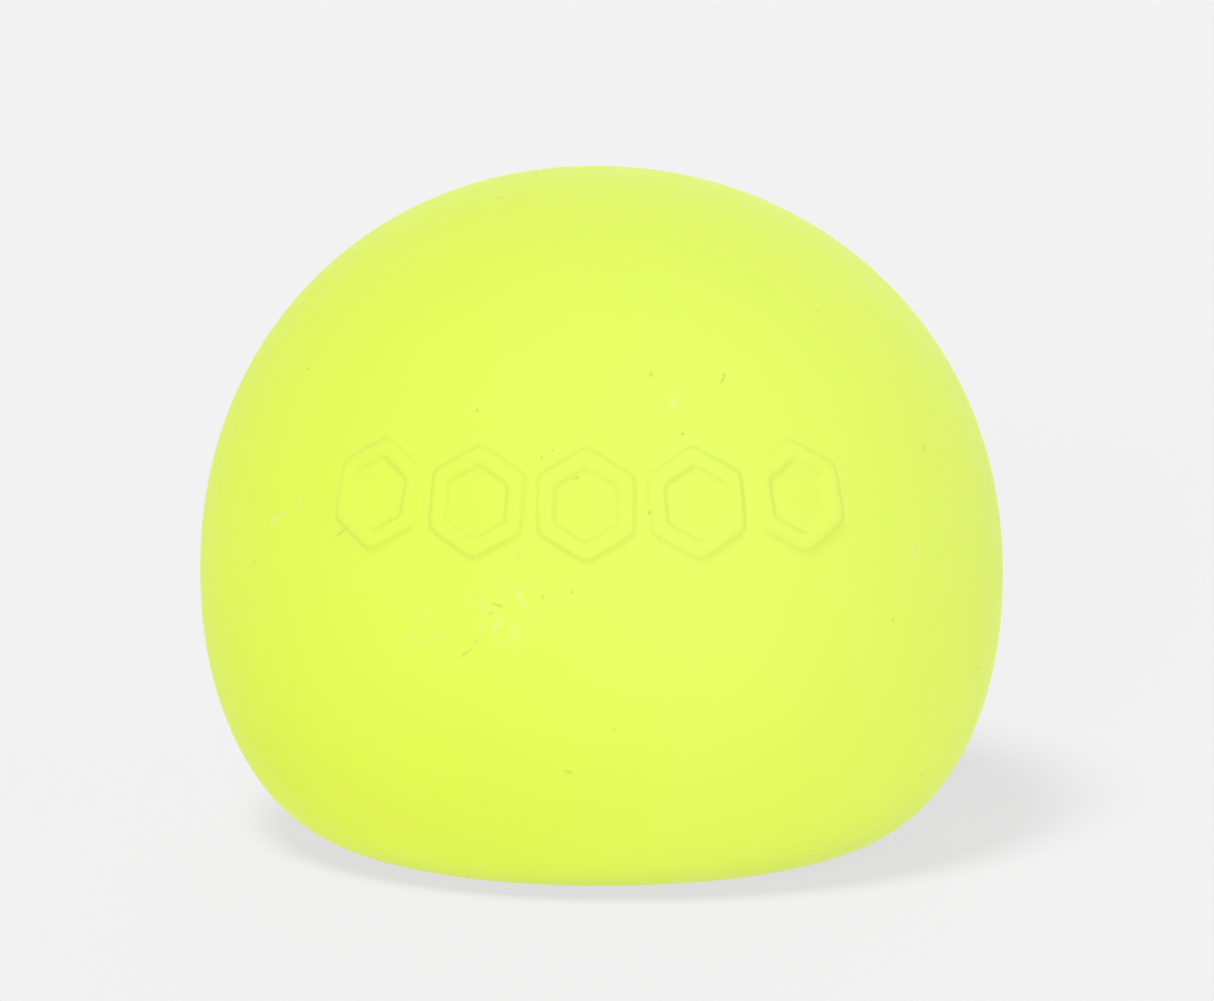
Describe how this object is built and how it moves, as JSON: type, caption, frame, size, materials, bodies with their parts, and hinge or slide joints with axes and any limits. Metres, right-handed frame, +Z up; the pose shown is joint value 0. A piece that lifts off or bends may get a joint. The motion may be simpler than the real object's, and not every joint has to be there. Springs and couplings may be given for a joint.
{
  "type": "stress ball",
  "caption": "Palm-sized gel-filled squeeze ball slumped on a flat foot, with a matte neon skin, a raised geometric band on the front and a plugged fill hole underneath.",
  "frame": {"origin": "centre of the flat foot, on the surface that the ball rests on", "axes": "+Z up from the foot to the crown, -Y towards the viewer, where the raised ornament is, +X to the right"},
  "size_m": [0.065, 0.065, 0.0545],
  "materials": {
    "skin": "matte",
    "gel": "satin",
    "plug": "matte",
    "seal": "gloss"
  },
  "bodies": {
    "base": {"skin_base": "skin", "gel_filling": "gel", "fill_plug": "plug", "seal_ring": "seal"},
    "crown": {"skin_crown": "skin"}
  },
  "joints": [
    {"name": "squeeze", "type": "slide", "parent": "base", "child": "crown", "axis": [0, 0, -1], "range_m": [0, 0.02], "stiffness_N_per_m": 2000, "deforming": ["skin_base", "gel_filling"]}
  ]
}
